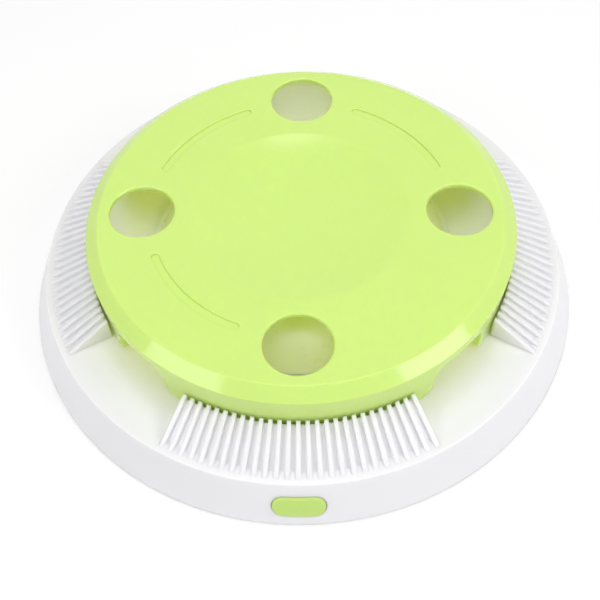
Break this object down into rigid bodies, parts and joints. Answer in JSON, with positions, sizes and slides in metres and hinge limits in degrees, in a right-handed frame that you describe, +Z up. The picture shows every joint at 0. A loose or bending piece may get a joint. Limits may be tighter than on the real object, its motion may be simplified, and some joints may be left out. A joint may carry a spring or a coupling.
{
  "type": "electronic cat toy",
  "caption": "Round battery cat toy: lime cover with paw holes and arches on a white ribbed base; a motor turns a table that leads a lure round the channel.",
  "frame": {"origin": "middle of the plane the rubber feet stand on, on the axis of the turntable", "axes": "+Z up, -Y to the front with the push button"},
  "size_m": [0.3, 0.3, 0.06],
  "materials": {
    "lime_plastic": "gloss",
    "white_plastic": "gloss",
    "lure_plush": "plush",
    "steel": "plated",
    "motor_steel": "plated",
    "gear_plastic": "satin",
    "pinion_brass": "machined",
    "frame_plastic": "satin",
    "cell_jacket": "printed jacket",
    "contact_nickel": "nickel plated",
    "board_green": "solder mask",
    "black_plastic": "satin",
    "red_lead": "insulation",
    "black_lead": "insulation",
    "grey_rubber": "matte"
  },
  "bodies": {
    "base": {"base_shell": "white_plastic", "base_cover": "white_plastic", "base_screws": "steel", "foot_1": "grey_rubber", "foot_2": "grey_rubber", "foot_3": "grey_rubber", "foot_4": "grey_rubber", "foot_5": "grey_rubber", "foot_6": "grey_rubber", "gear_frame_lower": "frame_plastic", "gear_frame_upper": "frame_plastic", "frame_screws": "steel", "axle_a": "steel", "axle_b": "steel", "motor_can": "motor_steel", "motor_screws": "steel", "battery_1": "cell_jacket", "battery_2": "cell_jacket", "contact_positive": "contact_nickel", "contact_negative": "contact_nickel", "contact_link": "contact_nickel", "circuit_board": "board_green", "switch_body": "black_plastic", "lead_plus": "red_lead", "lead_minus": "black_lead", "lead_switch": "red_lead"},
    "cover": {"top_cover": "lime_plastic"},
    "table": {"turntable": "white_plastic", "drive_shaft": "steel", "hub_screw": "steel", "output_gear": "gear_plastic", "lure_arm": "white_plastic"},
    "lure_body": {"lure": "lure_plush"},
    "gear_b_body": {"gear_b": "gear_plastic"},
    "gear_a_body": {"gear_a": "gear_plastic"},
    "rotor": {"motor_shaft": "steel", "motor_pinion": "pinion_brass"},
    "door": {"battery_door": "white_plastic"},
    "power_button": {"button": "lime_plastic", "switch_plunger": "black_plastic"}
  },
  "joints": [
    {"name": "cover_lift", "type": "slide", "parent": "base", "child": "cover", "axis": [0, 0, 1], "range_m": [0, 0.06]},
    {"name": "table_spin", "type": "hinge", "parent": "base", "child": "table", "pos_m": [0, 0, 0.035], "axis": [0, 0, 1], "continuous": true},
    {"name": "lure_swing", "type": "hinge", "parent": "table", "child": "lure_body", "pos_m": [0.06152, 0.06152, 0.0382], "axis": [0, 0, 1], "range_deg": [-7, 18]},
    {"name": "gear_b_spin", "type": "hinge", "parent": "base", "child": "gear_b_body", "pos_m": [-0.02079, 0.012, 0.025], "axis": [0, 0, 1], "continuous": true},
    {"name": "gear_a_spin", "type": "hinge", "parent": "base", "child": "gear_a_body", "pos_m": [-0.02694, -0.00491, 0.025], "axis": [0, 0, 1], "continuous": true},
    {"name": "rotor_spin", "type": "hinge", "parent": "base", "child": "rotor", "pos_m": [-0.01395, -0.01241, 0.015], "axis": [0, 0, 1], "continuous": true},
    {"name": "door_swing", "type": "hinge", "parent": "base", "child": "door", "pos_m": [0, 0.0911, 0.003], "axis": [-1, 0, 0], "range_deg": [0, 100]},
    {"name": "button_press", "type": "slide", "parent": "base", "child": "power_button", "axis": [0, 1, 0], "range_m": [0, 0.0012], "stiffness_N_per_m": 600, "springref_m": -0.001}
  ],
  "couplings": [
    {"joint": "gear_b_spin", "follows": "table_spin", "ratio": -4},
    {"joint": "gear_a_spin", "follows": "table_spin", "ratio": 16},
    {"joint": "rotor_spin", "follows": "table_spin", "ratio": -64}
  ]
}
